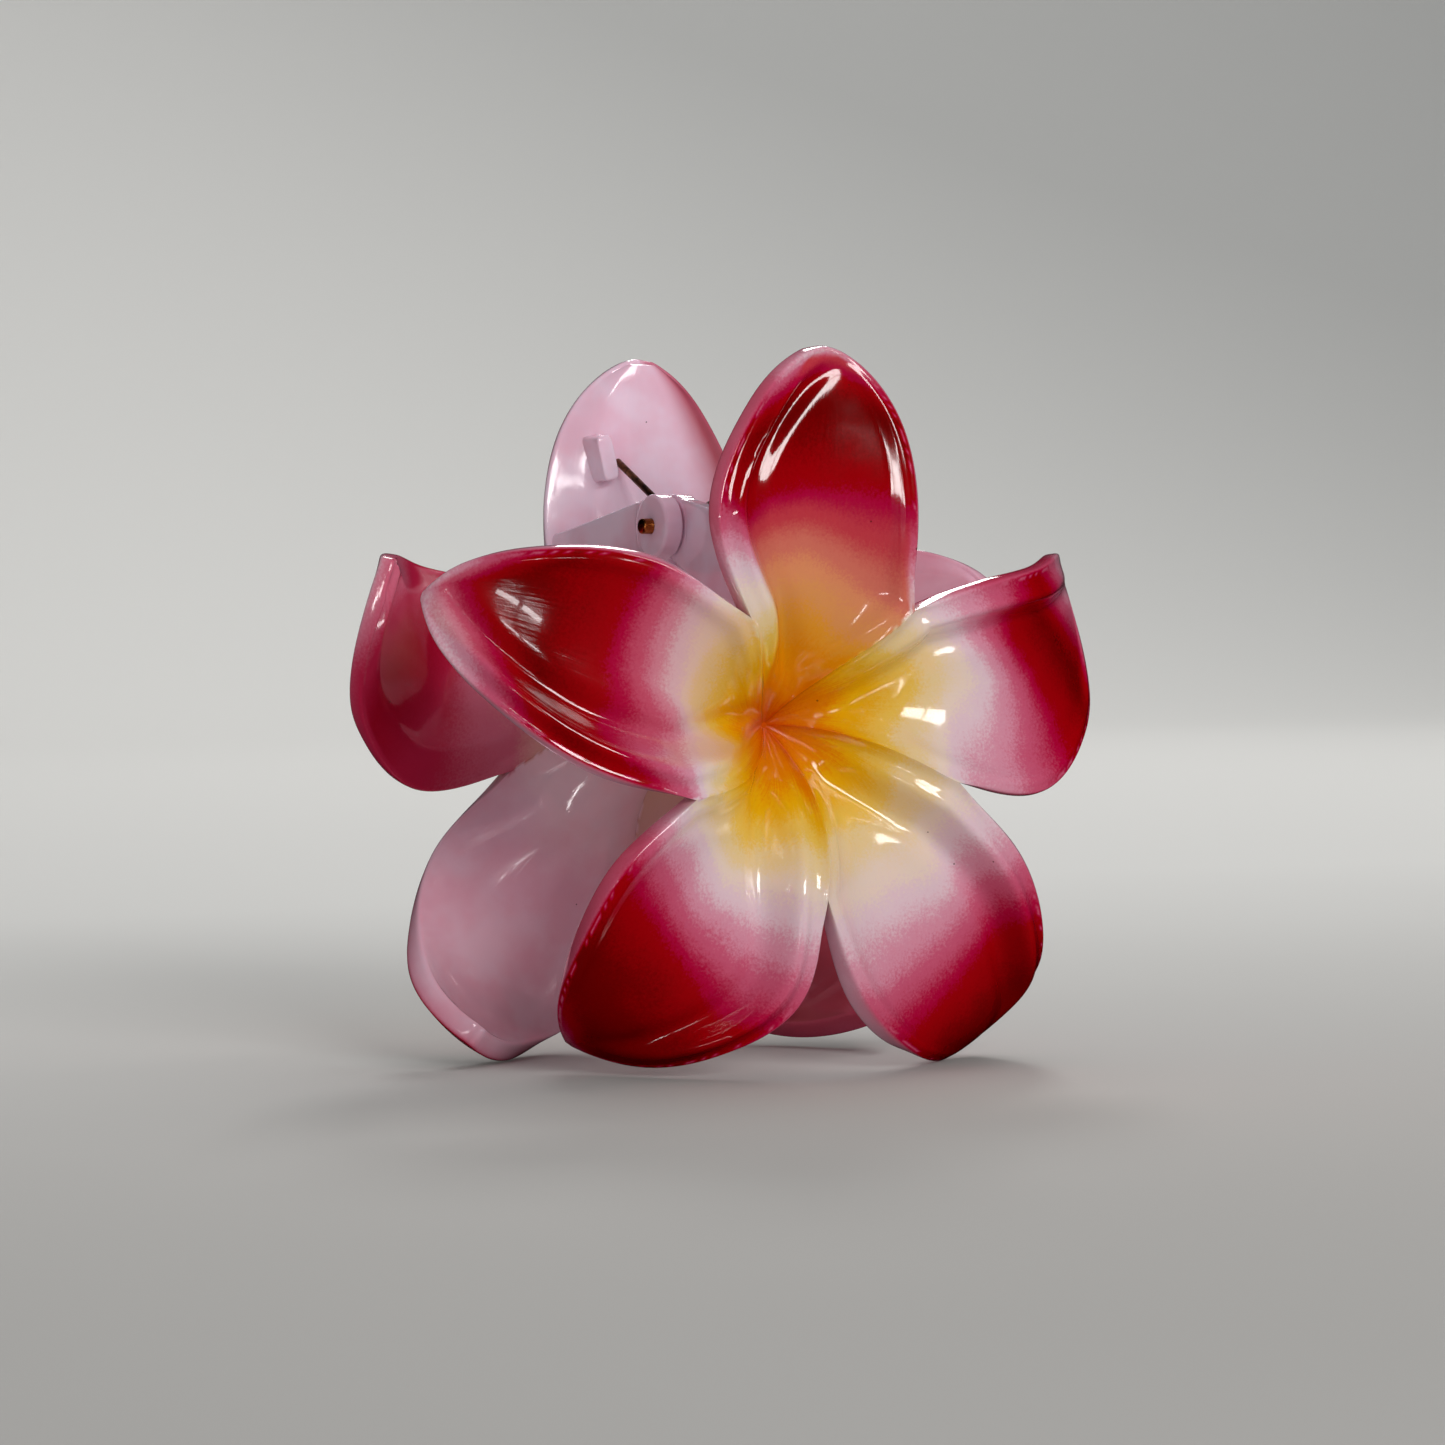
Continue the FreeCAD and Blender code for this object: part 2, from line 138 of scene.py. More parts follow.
# How red the inner side of each petal shows, at its trailing and at its leading side, comes partly
# from paint oversprayed onto it and partly from a painted glow of light shining through the red
# sheet, set petal by petal for how the light falls.
PETALS = (
    dict(name="top", length=38.9, lead=(12.8, 9.2, 3.8), trail=(10.0, 9.0, 5.5),
         tip_shift=-1.5, middle=(10.2, 9.6, 9.0), edge=(13.5, 11.8, 10.0), tip_height=9.0,
         yellow_end=(0.70, 0.78, 0.93, 0.95, 0.93, 0.85),
         red_start=(1.25, 1.26, 1.26, 1.25, 1.18, 1.30),
         red_end=(1.62, 1.70, 1.73, 1.67, 1.65, 1.55), soft=1.8,
         thinning=0.35, peach=1.0, painted_glow_and_overspray=0.05, lead_painted_glow_and_overspray=0.85),
    dict(name="left", length=40.5, lead=(9.4, 6.6, 2.6), trail=(12.0, 10.4, 6.8),
         tip_shift=-2.2, middle=(9.0, 5.5, 1.0), edge=(12.0, 7.5, 2.0), tip_height=-2.0,
         yellow_end=(0.97, 0.93, 0.85, 0.52, 0.66, 0.78),
         red_start=(1.26, 1.24, 1.23, 1.20, 1.23, 1.10),
         red_end=(1.56, 1.70, 1.60, 1.50, 1.49, 1.44), soft=1.3,
         thinning=0.40, peach=0.3, painted_glow_and_overspray=0.5, lead_painted_glow_and_overspray=0.5),
    dict(name="lower_left", length=38.2, lead=(13.3, 11.0, 7.4), trail=(12.0, 10.1, 5.6),
         tip_shift=2.2, middle=(11.0, 9.2, 4.8), edge=(14.0, 11.0, 5.0), tip_height=-3.0,
         yellow_end=(0.88, 0.80, 0.88, 0.80, 0.70, 0.80),
         red_start=(1.25, 1.26, 1.31, 1.37, 1.40, 1.36),
         red_end=(1.80, 1.84, 1.96, 1.98, 2.00, 1.98), soft=1.3,
         thinning=0.20, peach=0.0, painted_glow_and_overspray=0.9, lead_painted_glow_and_overspray=0.9),
    # The lower right petal's red end is set so that its tip, which faces the floor, is painted a
    # lighter red: painted light for the light the floor throws back.
    dict(name="lower_right", length=42.4, lead=(10.9, 9.4, 7.4), trail=(12.0, 9.9, 5.4),
         tip_shift=0.9, middle=(11.3, 10.2, 6.6), edge=(14.0, 11.7, 5.6), tip_height=1.0,
         yellow_end=(0.66, 0.72, 0.78, 0.85, 0.68, 0.70),
         red_start=(1.42, 1.41, 1.39, 1.37, 1.37, 1.41),
         red_end=(2.03, 2.03, 2.03, 2.03, 2.03, 2.03), soft=1.8,
         thinning=0.00, peach=0.0, painted_glow_and_overspray=0.35, lead_painted_glow_and_overspray=0.35),
    dict(name="right", length=39.0, lead=(8.4, 6.6, 5.6), trail=(14.5, 12.6, 8.0),
         tip_shift=4.0, middle=(10.0, 6.5, 2.0), edge=(12.5, 8.5, 3.0), tip_height=-1.0,
         yellow_end=(0.58, 0.72, 0.95, 0.95, 0.83, 0.75),
         red_start=(1.37, 1.36, 1.32, 1.27, 1.30, 1.37),
         red_end=(1.66, 1.72, 1.64, 1.58, 1.50, 1.52), soft=1.5,
         thinning=0.35, peach=0.0, painted_glow_and_overspray=1.0, lead_painted_glow_and_overspray=1.0),
)
ATTRIBUTES = ("tone", "inside", "painted_glow_and_overspray", "peach", "along", "across")

# Places on the paint ramp.
CREAM = 0.40
PALE = 0.60
BARE = 0.74                       # the most that a bare rim shows
MAGENTA = 0.85
RED_LENGTH = 0.30                 # from magenta to deep red, along the petal
TIP_FADE = 0.40                   # how far deep red falls back past the red's end
TIP_FADE_LENGTH = 0.50
GROOVE_SHADE_START = 0.72               # share of the half width where the painted shade of the grooves, a darker orange, starts
GROOVE_SHADE_LENGTH = 0.9
GROOVE_PAINTED_SHADE = 0.5
PAINT_REACH = 1.5                 # farther than this from the petals the ears are bare plastic

# Faces that meet at a sharper angle than these, in degrees, show an edge.
PETAL_EDGE_ANGLE = 42.0
METAL_EDGE_ANGLE = 35.0
FLOOR_EDGE_ANGLE = 40.0
WELD_DISTANCE = 2e-6              # metres
EMPTY_FACE_SIZE = 1e-7            # metres


# ---- small helpers -----------------------------------------------------------------------
def smooth_step(x):
    x = np.clip(x, 0.0, 1.0)
    return x * x * (3.0 - 2.0 * x)


def through_five(values, x):
    """Natural cubic spline through five values at 0, 1/4, 1/2, 3/4 and 1."""
    step = 0.25
    values = np.array(values, float)
    bends = 6.0 * (values[:-2] - 2.0 * values[1:-1] + values[2:]) / step ** 2
    middle = (4.0 * bends[1] - bends[0] - bends[2]) / 14.0
    curve = np.array([0.0, (bends[0] - middle) / 4.0, middle, (bends[2] - middle) / 4.0, 0.0])
    i = np.clip((x / step).astype(int), 0, 3)
    u = x / step - i
    left = ((1.0 - u) ** 3 - (1.0 - u)) * curve[i]
    right = (u ** 3 - u) * curve[i + 1]
    return values[i] * (1.0 - u) + values[i + 1] * u + (left + right) * step ** 2 / 6.0


def unit(v):
    return v / np.linalg.norm(v, axis=-1, keepdims=True)


def bump(distance, place, width):
    return np.exp(-((distance - place) / width) ** 2)


def rounded(angle, power):
    """Point of a rounded square: 1 makes a circle and 0 a square."""
    c, s = np.cos(angle), np.sin(angle)
    return np.sign(c) * np.abs(c) ** power, np.sign(s) * np.abs(s) ** power


# ---- petals ------------------------------------------------------------------------------
def bead_profile(half_width, t):
    lead = (1.0 - t) * half_width
    trail = (1.0 + t) * half_width
    height = BEAD_HEIGHT * bump(lead, BEAD_PLACE, BEAD_WIDTH)
    height = height - CREASE_DEPTH * bump(lead, CREASE_PLACE, CREASE_WIDTH)
    height = height + RIM_HEIGHT * bump(trail, RIM_PLACE, RIM_WIDTH)
    return height * (1.0 - t ** 12) * smooth_step(half_width / BEAD_FADE)


def dish(edge, middle, t):
    return edge + (middle - edge) * (1.0 - t * t)


def funnel_floor(s):
    """Height of the middle of a petal inside the funnel."""
    quarter = np.sin(s * math.pi / 2.0)
    return DISH_RISE * (DISH_ROUNDNESS * quarter + (1.0 - DISH_ROUNDNESS) * s)


def funnel_point(s, t, bead):
    """Inner part of a petal, s from 0 at the throat to 1 where the petals part."""
    radius = FUNNEL_RADIUS * s
    angle = HALF_STEP * t + SWIRL * (1.0 - s) ** 1.5
    floor = funnel_floor(s)
    height = dish(GROOVE_RISE * np.sin(s * math.pi / 2.0), floor, t)
    if bead:
        height = height + bead_profile(radius * math.sin(HALF_STEP), t)
    height = np.where(s <= FIRST_STATION, floor, height)
    return np.stack([radius * np.cos(angle), radius * np.sin(angle), height], -1)


def half_widths(petal, x):
    """Distances from a petal's axis to its leading and trailing edges."""
    shift = petal["tip_shift"]
    lead = through_five((PART_HALF_WIDTH,) + petal["lead"] + (shift,), x)
    trail = through_five((PART_HALF_WIDTH,) + petal["trail"] + (-shift,), x)
    return lead, trail


def free_point(petal, x, t, bead):
    """Free part of a petal, x from 0 where the petals part to 1 at the tip."""
    lead, trail = half_widths(petal, x)
    along = PART_ALONG + (petal["length"] - PART_ALONG) * np.sin(x * math.pi / 2.0)
    arc_along = FUNNEL_RADIUS * np.cos(HALF_STEP * t) - PART_ALONG
    arc_across = FUNNEL_RADIUS * np.sin(HALF_STEP * t) - PART_HALF_WIDTH * t
    fade = (1.0 - x) ** 2
    half_width = (lead + trail) / 2.0
    across = (lead - trail) / 2.0 + half_width * t + arc_across * fade
    tip = petal["tip_height"]
    middle = through_five((DISH_RISE,) + petal["middle"] + (tip,), x)
    edge = through_five((GROOVE_RISE,) + petal["edge"] + (tip,), x)
    height = dish(edge, middle, t)
    if bead:
        share = smooth_step((BEAD_END - x) / BEAD_END_LENGTH)
        height = height + bead_profile(half_width, t) * share
    return np.stack([along + arc_along * fade, across, height], -1)


def funnel_normal(point, s):
    slope = GROOVE_RISE * math.pi / 2.0 * np.cos(s * math.pi / 2.0) / FUNNEL_RADIUS
    radius = np.hypot(point[..., 0], point[..., 1])
    return unit(np.stack([-slope * point[..., 0] / radius, -slope * point[..., 1] / radius,
                          np.ones_like(radius)], -1))


def free_normal(petal, x, t):
    """Direction the sheet faces: as the funnel at first, then as the petal's own slopes say."""
    step = 0.004
    side = 0.02
    place = np.minimum(x, LAST_NORMAL)
    funnel = funnel_normal(free_point(petal, x, t, False), 1.0)
    t = t * (1.0 - smooth_step((x - TIP_TURN_START) / (1.0 - TIP_TURN_START)))
    along = (free_point(petal, place + step, t, False)
             - free_point(petal, np.maximum(place - step, 0.0), t, False))
    across = free_point(petal, place, t + side, False) - free_point(petal, place, t - side, False)
    own = unit(np.cross(along, across))
    share = smooth_step(x / 0.3)[..., None]
    return unit(funnel * (1.0 - share) + own * share)


def flower_to_clip(point, axis):
    """Turns a point of a petal to its place in the front jaw."""
    angle = math.radians(axis)
    u = point[..., 0] * math.cos(angle) - point[..., 1] * math.sin(angle)
    v = point[..., 0] * math.sin(angle) + point[..., 1] * math.cos(angle)
    h = point[..., 2]
    y = -THROAT_DEPTH - v * math.sin(FLOWER_TILT) - h * math.cos(FLOWER_TILT)
    z = THROAT_HEIGHT + v * math.cos(FLOWER_TILT) - h * math.sin(FLOWER_TILT)
    return np.stack([u, y, z], -1)


def paint(petal, q, t, edge_distance):
    """Place on the paint ramp, which runs from 0, orange, to 1, deep red."""
    yellow_end = np.interp(t, PAINT_PLACES, petal["yellow_end"])
    red_start = np.interp(t, PAINT_PLACES, petal["red_start"])
    red_end = np.interp(t, PAINT_PLACES, petal["red_end"])
    # Painted shade: near the throat, the grooves between the petals are painted a darker orange.
    groove = smooth_step((np.abs(t) - GROOVE_SHADE_START) / (1.0 - GROOVE_SHADE_START))
    groove = groove * (1.0 - smooth_step(q / GROOVE_SHADE_LENGTH))
    warm = CREAM * np.clip(q / yellow_end, 0.0, 1.0) * (1.0 - GROOVE_PAINTED_SHADE * groove)
    pink_share = np.clip((q - yellow_end) / (red_start - yellow_end), 0.0, 1.0)
    pink = (MAGENTA - CREAM) * pink_share ** petal["soft"]
    red = (1.0 - MAGENTA) * np.clip((q - red_start) / RED_LENGTH, 0.0, 1.0) ** 0.7
    rise = warm + pink + red
    fall = 1.0 - TIP_FADE * smooth_step((q - red_end + 0.20) / TIP_FADE_LENGTH)
    tone = np.minimum(rise, fall)
    bare = (1.0 - smooth_step((edge_distance - 0.02) / 0.35)) * smooth_step((q - 1.0) / 0.2)
    return tone + (np.clip(tone, 0.0, BARE) - tone) * bare


def outline(grid):
    """Values of a free part's grid along its edge, from where the petals part and back there."""
    return np.concatenate([grid[:, -1], grid[-1, -2:0:-1], grid[::-1, 0]])


def petal_sheets(number, petal):
    """Grids of one petal with their paint values: funnel and free part, front and back, and rim."""
    axis = FIRST_AXIS + PETAL_STEP * number
    sides = np.linspace(-1.0, 1.0, ACROSS + 1)
    s, t = np.meshgrid(np.linspace(FIRST_STATION, 1.0, ALONG_FUNNEL + 1), sides, indexing="ij")
    front = funnel_point(s, t, True)
    plain = funnel_point(s, t, False)
    back = plain - funnel_normal(plain, s) * SHEET
    funnel_edge = np.full_like(s, FUNNEL_EDGE_DISTANCE)
    sheets = [(front, s, t, funnel_edge, 0.0), (back[::-1], s[::-1], t[::-1], funnel_edge, 1.0)]

    x, t = np.meshgrid(np.linspace(0.0, LAST_STATION, ALONG_FREE + 1), sides, indexing="ij")
    lead, trail = half_widths(petal, x)
    half_width = (lead + trail) / 2.0
    bulge = EDGE_BULGE * smooth_step(x / EDGE_BULGE_START)
    inset = t * (1.0 - np.minimum(bulge / half_width, 0.5))
    front = free_point(petal, x, inset, True)
    plain = free_point(petal, x, inset, False)
    near_tip = smooth_step((x - TIP_THIN_START) / (LAST_STATION - TIP_THIN_START))
    near_edge = np.maximum(np.abs(inset), near_tip)
    near_edge = smooth_step((near_edge - EDGE_THIN_FROM) / (1.0 - EDGE_THIN_FROM))
    thin = 1.0 - petal["thinning"] * near_edge * smooth_step(x / 0.2)
    back = plain - free_normal(petal, x, inset) * (SHEET * thin)[..., None]
    joint = funnel_point(np.ones_like(t[0]), t[0], False)
    back[0] = joint - funnel_normal(joint, np.ones_like(t[0])) * SHEET
    edge = np.minimum((1.0 - np.abs(inset)) * half_width - bulge,
                      petal["length"] - front[..., 0])
    edge = np.maximum(edge, 0.0)
    sheets.append((front, 1.0 + x, inset, edge, 0.0))
    sheets.append((back[::-1], 1.0 + x[::-1], inset[::-1], edge[::-1], 1.0))

    rim_front, rim_back = outline(front), outline(back)
    middle = (rim_front + rim_back) / 2.0
    half = (rim_front - rim_back) / 2.0
    travel = np.gradient(middle, axis=0)
    outward = unit(np.cross(half, travel)) * outline(bulge)[:, None]
    rows = []
    for k in range(EDGE_STEPS + 1):
        over, out = rounded(math.pi * k / EDGE_STEPS, EDGE_SQUARENESS)
        rows.append(middle + half * over + outward * abs(out))
    rows[0], rows[-1] = rim_front, rim_back
    rim = np.stack(rows, 1)
    shape = rim.shape[:2]
    rim_q = np.broadcast_to(outline(1.0 + x)[:, None], shape)
    rim_t = np.broadcast_to(outline(inset)[:, None], shape)
    share = np.broadcast_to(np.linspace(0.0, 1.0, shape[1])[None, :], shape)
    sheets.append((rim, rim_q, rim_t, np.clip(0.35 - share, 0.0, 1.0), share ** 0.8))

    # Along and across place the fibres, and every petal has fibres of its own.
    result = []
    for points, q, across, edge_distance, inside in sheets:
        values = dict(tone=paint(petal, q, across, edge_distance),
                      inside=np.broadcast_to(inside, q.shape),
                      painted_glow_and_overspray=petal["painted_glow_and_overspray"] + (petal["lead_painted_glow_and_overspray"] - petal["painted_glow_and_overspray"])
                      * smooth_step((across - 0.25) / 0.5),
                      peach=petal["peach"] * (1.0 - smooth_step((across - 0.52) / 0.16))
                      * (1.0 - smooth_step((0.9 - edge_distance) / 0.9)),
                      along=q + 3.0 * number, across=across * 12.0)
        result.append((flower_to_clip(points, axis), values))
    return result


def build_petals():
    """One closed mesh of the five petals and the values on its vertices."""
    points = []
    faces = []
    values = {name: [] for name in ATTRIBUTES}
    count = 0
    throats = [[], []]
    for number, petal in enumerate(PETALS):
        for index, (grid, grid_values) in enumerate(petal_sheets(number, petal)):
            rows, cols = grid.shape[:2]
            ids = count + np.arange(rows * cols).reshape(rows, cols)
            quads = np.stack([ids[:-1, :-1], ids[1:, :-1], ids[1:, 1:], ids[:-1, 1:]], -1)
            faces.extend(quads.reshape(-1, 4).tolist())
            points.append(grid.reshape(-1, 3))
            for name in ATTRIBUTES:
                values[name].append(np.asarray(grid_values[name]).reshape(-1))
            if index == 0:
                throats[0].extend(ids[0, :-1].tolist())
            if index == 1:
                throats[1].extend(ids[-1, :-1].tolist())
            count += rows * cols
    points = np.concatenate(points)
    values = {name: np.concatenate(values[name]) for name in ATTRIBUTES}
    for ring in throats:
        centre = points[ring].mean(axis=0)
        points = np.concatenate([points, centre[None]])
        for name in ATTRIBUTES:
            values[name] = np.append(values[name], values[name][ring[0]])
        for a, b in zip(ring, ring[1:] + ring[:1]):
            faces.append([a, b, count])
        count += 1
    return points, faces, values


def make_object(name, points, faces):
    mesh = bpy.data.meshes.new(name)
    mesh.from_pydata((np.asarray(points) * MM).tolist(), [], faces)
    obj = bpy.data.objects.new(name, mesh)
    bpy.context.scene.collection.objects.link(obj)
    return obj


def weld(obj):
    """Joins points that coincide, drops empty faces and turns all faces outwards."""
    bm = bmesh.new()
    bm.from_mesh(obj.data)
    bmesh.ops.remove_doubles(bm, verts=bm.verts, dist=WELD_DISTANCE)
    bmesh.ops.dissolve_degenerate(bm, edges=bm.edges, dist=EMPTY_FACE_SIZE)
    bmesh.ops.recalc_face_normals(bm, faces=bm.faces)
    open_edges = sum(1 for edge in bm.edges if len(edge.link_faces) != 2)
    bm.to_mesh(obj.data)
    bm.free()
    return open_edges


def tube_faces(rings, size):
    """Faces of rings of points joined one to the next, with flat ends."""
    faces = []
    for r in range(rings - 1):
        for i in range(size):
            j = (i + 1) % size
            faces.append([r * size + i, r * size + j, (r + 1) * size + j, (r + 1) * size + i])
    faces.append(list(range(size))[::-1])
    faces.append([(rings - 1) * size + i for i in range(size)])
    return faces


# ---- ears, rib, pin and spring -----------------------------------------------------------
def first_hit(tree, start, direction):
    """Distance to the petals."""
    return tree.ray_cast(Vector(start * MM), Vector(direction))[3] / MM


def ear_plate(tree, middle_x):
    """Tapered plate from the hinge into the petals, thicker where it meets them."""
    loop = 64
    stations = np.concatenate([np.linspace(0.0, 0.8, 9), np.linspace(0.84, 1.0, 9)])
    starts = []
    ends = []
    offsets = []
    for k in range(loop):
        c, s = rounded(2.0 * math.pi * (k + 0.5) / loop, EAR_SQUARENESS)
        offset = c * (EAR_THICKNESS / 2.0 - EAR_SETBACK)
        share = (s + 1.0) / 2.0
        bottom = np.array([0.0, math.sin(EAR_BOTTOM_SLOPE), -math.cos(EAR_BOTTOM_SLOPE)])
        top = np.array([0.0, math.sin(EAR_TOP_SLOPE), math.cos(EAR_TOP_SLOPE)])
        start = HINGE + (bottom * (1.0 - share) + top * share) * EAR_RADIUS
        start = start + np.array([middle_x + offset, 0.0, 0.0])
        slope = EAR_BOTTOM_SLOPE * (1.0 - share) + EAR_TOP_SLOPE * share
        direction = np.array([0.0, -math.cos(slope), -math.sin(slope)])
        distance = first_hit(tree, start, direction)
        starts.append(start)
        offsets.append(c)
        ends.append(start + direction * (distance + ROOT_DEPTH))
    starts, ends, offsets = np.array(starts), np.array(ends), np.array(offsets)
    rings = []
    for u in stations:
        ring = starts * (1.0 - u) + ends * u
        share = smooth_step(np.array((u - EAR_FLARE_START) / (1.0 - EAR_FLARE_START)))
        ring[:, 0] += offsets * EAR_FLARE * share ** 2
        rings.append(ring)
    points = np.concatenate(rings)
    return make_object("ear_plate", points, tube_faces(len(rings), loop))


def ear_barrel(middle_x):
    """Round end of an ear with softened rims."""
    around = 72
    half = EAR_THICKNESS / 2.0
    soft = 0.35
    profile = [(-half, EAR_RADIUS - soft)]
    for k in range(1, 7):
        angle = math.pi / 2.0 * k / 6
        profile.append((-half + soft * (1.0 - math.cos(angle)),
                        EAR_RADIUS - soft + soft * math.sin(angle)))
    profile += [(-x, r) for x, r in profile[::-1]]
    rings = []
    for x, radius in profile:
        for k in range(around):
            angle = 2.0 * math.pi * k / around
            rings.append(HINGE + np.array([middle_x + x, radius * math.cos(angle),
                                           radius * math.sin(angle)]))
    return make_object("ear_barrel", rings, tube_faces(len(profile), around))


def leg_end():
    start = np.array([0.0, -math.sin(LEG_ANGLE), -math.cos(LEG_ANGLE)]) * COIL_RADIUS
    return HINGE + start + np.array([0.0, -math.cos(LEG_ANGLE), math.sin(LEG_ANGLE)]) * LEG_LENGTH


def spring_rib(tree):
    """Small upright rib with soft corners beside the end of the spring leg."""
    width, rise, length = RIB_SIZE
    end = leg_end()
    centre = np.array([COIL_HALF_LENGTH + RIB_OFFSET, end[1] + rise, end[2] + RIB_ABOVE_LEG])
    loop = 40
    rings = [[] for _ in RIB_TOP + RIB_ROOT]
    for k in range(loop):
        c, s = rounded(2.0 * math.pi * (k + 0.5) / loop, RIB_SQUARENESS)
        flat = np.array([c * width / 2.0, s * length / 2.0])
        for level, (depth, scale) in enumerate(RIB_TOP):
            rings[level].append(rib_point(centre, flat * scale, depth))
        distance = first_hit(tree, rib_point(centre, flat, 0.0), np.array([0.0, -1.0, 0.0]))
        for level, (share, spread) in enumerate(RIB_ROOT, len(RIB_TOP)):
            depth = distance * share if share < 1.0 else distance + ROOT_DEPTH
            grown = flat + np.sign(flat) * spread
            rings[level].append(rib_point(centre, grown, depth))
    points = np.concatenate([np.array(ring) for ring in rings])
    return make_object("spring_rib", points, tube_faces(len(rings), loop))


def rib_point(centre, flat, depth):
    """Point of the tilted rib at a depth below its top."""
    x = flat[0] * math.cos(RIB_TILT) + flat[1] * math.sin(RIB_TILT)
    z = -flat[0] * math.sin(RIB_TILT) + flat[1] * math.cos(RIB_TILT)
    return centre + np.array([x, -depth, z])


def bore_tool():
    around = 48
    rings = []
    for x in (-BORE_REACH, BORE_REACH):
        for k in range(around):
            angle = 2.0 * math.pi * k / around
            rings.append(HINGE + np.array([x, BORE_RADIUS * math.cos(angle),
                                           BORE_RADIUS * math.sin(angle)]))
    return make_object("bore_tool", rings, tube_faces(2, around))


def combine(base, tool, operation):
    """Applies one boolean to base and removes the tool."""
    modifier = base.modifiers.new("combine", "BOOLEAN")
    modifier.operation = operation
    modifier.solver = "MANIFOLD"
    modifier.object = tool
    depsgraph = bpy.context.evaluated_depsgraph_get()
    mesh = bpy.data.meshes.new_from_object(base.evaluated_get(depsgraph))
    base.modifiers.clear()
    base.data = mesh
    bpy.data.objects.remove(tool)


def build_jaw():
    points, faces, values = build_petals()
    jaw = make_object("front_petals_and_ears", points, faces)
    print("petals: open edges", weld(jaw))
    tree = BVHTree.FromPolygons((points * MM).tolist(), faces)
    for place in EAR_PLACES:
        for part in (ear_plate(tree, place), ear_barrel(place)):
            weld(part)
            combine(jaw, part, "UNION")
    rib = spring_rib(tree)
    weld(rib)
    combine(jaw, rib, "UNION")
    combine(jaw, bore_tool(), "DIFFERENCE")
    carry_values(jaw.data, points, values)
    return jaw


def carry_values(mesh, points, values):
    """Gives each vertex the paint values of the nearest petal point; ears are bare plastic."""
    tree = KDTree(len(points))
    for index, point in enumerate(points * MM):
        tree.insert(point, index)
    tree.balance()
    found = [tree.find(vertex.co) for vertex in mesh.vertices]
    index = np.array([f[1] for f in found])
    away = smooth_step(np.array([f[2] for f in found]) / MM / PAINT_REACH)
    for name in ATTRIBUTES:
        value = values[name][index]
        if name == "tone":
            value = value + (PALE - value) * away
        if name == "inside":
            value = np.maximum(value, away)
        if name == "painted_glow_and_overspray":
            value = value * (1.0 - away)
        attribute = mesh.attributes.new(name, "FLOAT", "POINT")
        attribute.data.foreach_set("value", value.astype(np.float32))


def finish_shading(mesh, sharp_angle):
    mesh.shade_smooth()
    mesh.set_sharp_from_angle(angle=math.radians(sharp_angle))


def sweep(path, radius, around):
    """Round wire along a path, with softened ends."""
    path = np.array(path)
    travel = unit(np.gradient(path, axis=0))
    side = unit(np.cross(travel[0], np.array([1.0, 0.0, 0.0])))
    last = len(path) - 1
    points = []
    for i, (point, direction) in enumerate(zip(path, travel)):
        side = unit(side - direction * np.dot(side, direction))
        other = np.cross(direction, side)
        stations = ((0.0, 1.0),)
        if i == 0:
            stations = WIRE_TAPER
        if i == last:
            stations = tuple((-shift, scale) for shift, scale in WIRE_TAPER[::-1])
        for shift, scale in stations:
            centre = point + direction * shift
            for k in range(around):
                angle = 2.0 * math.pi * k / around
                out = side * math.cos(angle) + other * math.sin(angle)
                points.append(centre + out * radius * scale)
    return np.array(points), tube_faces(len(points) // around, around)


def spring_path():
    """From the end of the back leg, through the coil, to the end of the front leg."""
    sweep_turns = COIL_FULL_TURNS + 2.0 * LEG_ANGLE / (2.0 * math.pi)
    length = 2.0 * COIL_HALF_LENGTH
    climb = length / sweep_turns / (2.0 * math.pi * COIL_RADIUS)
    axis = np.array([1.0, 0.0, 0.0])
    start = np.array([0.0, math.sin(LEG_ANGLE), -math.cos(LEG_ANGLE)])
    leg = unit(np.array([climb, -math.cos(LEG_ANGLE), math.sin(LEG_ANGLE)])) * LEG_LENGTH
    back_leg = np.array([-leg[0], -leg[1], leg[2]])
    coil_start = HINGE - axis * COIL_HALF_LENGTH + start * COIL_RADIUS
    coil_end = HINGE + axis * COIL_HALF_LENGTH
    coil_end = coil_end + np.array([0.0, -start[1], start[2]]) * COIL_RADIUS
    across = np.cross(axis, start)
    path = [coil_start + back_leg * (1.0 - u) for u in np.linspace(0.0, 0.97, 12)]
    steps = COIL_FULL_TURNS * 40
    for i in range(steps + 1):
        angle = -2.0 * math.pi * sweep_turns * i / steps
        x = -COIL_HALF_LENGTH + length * i / steps
        radial = start * math.cos(angle) + across * math.sin(angle)
        path.append(HINGE + axis * x + radial * COIL_RADIUS)
    path += [coil_end + leg * u for u in np.linspace(0.03, 1.0, 12)]
    return path


def build_spring():
    points, faces = sweep(spring_path(), WIRE_RADIUS, 20)
    return make_object("spring_wire", points, faces)


def build_pin():
    """Pin with domed ends and a short fluted length near each end."""
    around = 96
    half = PIN_LENGTH / 2.0
    stations = [(half - depth, radius, 0) for depth, radius in PIN_DOME]
    stations += [(half - depth, PIN_RADIUS, fluted) for depth, fluted in PIN_FLUTES]
    stations.append((half - PIN_LAST_STATION, PIN_RADIUS, 0))
    stations += [(-x, r, f) for x, r, f in stations[::-1]]
    rings = []
    for x, radius, fluted in stations:
        for k in range(around):
            angle = 2.0 * math.pi * k / around
            groove = FLUTE_DEPTH * fluted * (0.5 - 0.5 * math.cos(FLUTES * angle)) ** 2
            r = radius - groove
            rings.append(HINGE + np.array([x, r * math.cos(angle), r * math.sin(angle)]))
    return make_object("brass_pin", rings, tube_faces(len(stations), around))


# ---- materials ---------------------------------------------------------------------------
LIGHT_SHARE = (0.745, 0.68, 0.68)  # about how much of a paint's red, green and blue is seen


